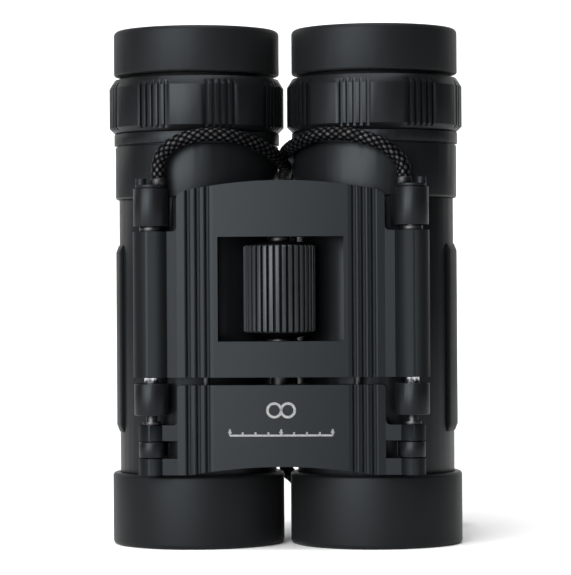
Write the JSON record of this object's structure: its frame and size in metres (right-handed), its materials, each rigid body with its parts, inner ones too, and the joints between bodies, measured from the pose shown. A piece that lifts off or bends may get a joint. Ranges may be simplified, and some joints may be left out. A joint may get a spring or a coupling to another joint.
{
  "type": "folding pocket binoculars",
  "caption": "Compact folding binoculars with a double-hinge bridge, central focus wheel, ribbed eyepiece rings, rubber eyecups and a braided neck cord coiled behind.",
  "frame": {"origin": "centre of the footprint on the surface that the objective rims stand on, without the neck cord", "axes": "+Z from the objectives up to the eyecups, -Y out of the front of the bridge, +X to the right seen from the front"},
  "size_m": [0.061, 0.068, 0.0885],
  "materials": {
    "shell_black": "fine satin black paint on the barrel tubes and housings",
    "satin_black": "satin black moulded bridge, lugs, covers and lens rings",
    "inner_black": "dull black inside parts that stop stray light",
    "pad_rubber": "thin soft black grip pads",
    "bezel_rubber": "matte black rubber rings round the objectives",
    "cup_rubber": "matte black rubber eyecups",
    "tie_rubber": "soft black strap",
    "ring_plastic": "satin black ribbed rings",
    "wheel_rubber": "satin black ribbed focus wheel",
    "bright_steel": "bright turned steel hinge pins",
    "screw_steel": "dark plated screws, rods, lower pins and washers",
    "ferrule_steel": "blackened crimped ferrules on the cord",
    "nut_brass": "turned brass",
    "coated_glass": "polished lens glass with a violet coating",
    "clear_glass": "polished clear glass",
    "cord_braid": "round black nylon braid"
  },
  "bodies": {
    "objective_bridge": {"objective_bridge_plate": "satin_black", "objective_bridge_cover": "satin_black", "objective_cover_screws": "screw_steel", "focus_screw": "screw_steel", "guide_rods": "screw_steel", "left_lower_pin": "screw_steel", "right_lower_pin": "screw_steel"},
    "eyepiece_bridge": {"eyepiece_bridge_plate": "satin_black", "eyepiece_bridge_cover": "satin_black", "eyepiece_cover_screws": "screw_steel", "thrust_washers": "screw_steel", "hinge_washers": "screw_steel", "left_upper_pin": "bright_steel", "right_upper_pin": "bright_steel", "left_strap_lug": "satin_black", "right_strap_lug": "satin_black", "left_cord_ferrule": "ferrule_steel", "right_cord_ferrule": "ferrule_steel", "left_cord": "cord_braid", "right_cord": "cord_braid", "cord_coil": "cord_braid", "cord_ties": "tie_rubber"},
    "focus_wheel": {"focus_wheel": "wheel_rubber", "focus_nut": "nut_brass"},
    "left_objective": {"left_barrel_tube": "shell_black", "left_grip_pad": "pad_rubber", "left_objective_bezel": "bezel_rubber", "left_objective_lens": "coated_glass", "left_objective_retainer": "satin_black", "left_prism_holder": "inner_black", "left_half_prism": "clear_glass", "left_roof_prism": "clear_glass"},
    "right_objective": {"right_barrel_tube": "shell_black", "right_grip_pad": "pad_rubber", "right_objective_bezel": "bezel_rubber", "right_objective_lens": "coated_glass", "right_objective_retainer": "satin_black", "right_prism_holder": "inner_black", "right_half_prism": "clear_glass", "right_roof_prism": "clear_glass"},
    "left_eyepiece": {"left_eyepiece_housing": "shell_black"},
    "dioptre_ring": {"left_dioptre_ring": "ring_plastic"},
    "left_ocular": {"left_ocular_cell": "inner_black", "left_field_lens": "clear_glass", "left_eye_lens": "coated_glass", "left_lens_retainer": "satin_black", "left_eyecup": "cup_rubber"},
    "right_eyepiece": {"right_eyepiece_housing": "shell_black", "right_trim_ring": "ring_plastic", "right_ocular_cell": "inner_black", "right_field_lens": "clear_glass", "right_eye_lens": "coated_glass", "right_lens_retainer": "satin_black", "right_eyecup": "cup_rubber"}
  },
  "joints": [
    {"name": "left_fold", "type": "hinge", "parent": "objective_bridge", "child": "left_objective", "pos_m": [-0.0219, -0.01362, 0.02], "axis": [0, 0, 1], "range_deg": [0, 90]},
    {"name": "right_fold", "type": "hinge", "parent": "objective_bridge", "child": "right_objective", "pos_m": [0.0219, -0.01362, 0.02], "axis": [0, 0, -1], "range_deg": [0, 90]},
    {"name": "focus_turn", "type": "hinge", "parent": "eyepiece_bridge", "child": "focus_wheel", "pos_m": [-0.0004, -0.01103, 0.0437], "axis": [0, 0, 1], "range_deg": [-96.5, 240.5]},
    {"name": "focus_slide", "type": "slide", "parent": "objective_bridge", "child": "eyepiece_bridge", "axis": [0, 0, 1], "range_m": [-0.0008, 0.002]},
    {"name": "left_eyepiece_fold", "type": "hinge", "parent": "eyepiece_bridge", "child": "left_eyepiece", "pos_m": [-0.0219, -0.01362, 0.056], "axis": [0, 0, 1], "range_deg": [0, 90]},
    {"name": "right_eyepiece_fold", "type": "hinge", "parent": "eyepiece_bridge", "child": "right_eyepiece", "pos_m": [0.0219, -0.01362, 0.056], "axis": [0, 0, -1], "range_deg": [0, 90]},
    {"name": "dioptre_turn", "type": "hinge", "parent": "left_eyepiece", "child": "dioptre_ring", "pos_m": [-0.0154, 0.00198, 0.0753], "axis": [0, 0, 1], "range_deg": [-60, 60]},
    {"name": "dioptre_slide", "type": "slide", "parent": "left_eyepiece", "child": "left_ocular", "axis": [0, 0, 1], "range_m": [-0.00041, 0.00041]}
  ],
  "couplings": [
    {"joint": "focus_turn", "follows": "focus_slide", "rad_per_m": 2094.4},
    {"joint": "left_eyepiece_fold", "follows": "left_fold", "ratio": 1},
    {"joint": "right_eyepiece_fold", "follows": "right_fold", "ratio": 1},
    {"joint": "dioptre_slide", "follows": "dioptre_turn", "m_per_rad": 0.00038197}
  ]
}
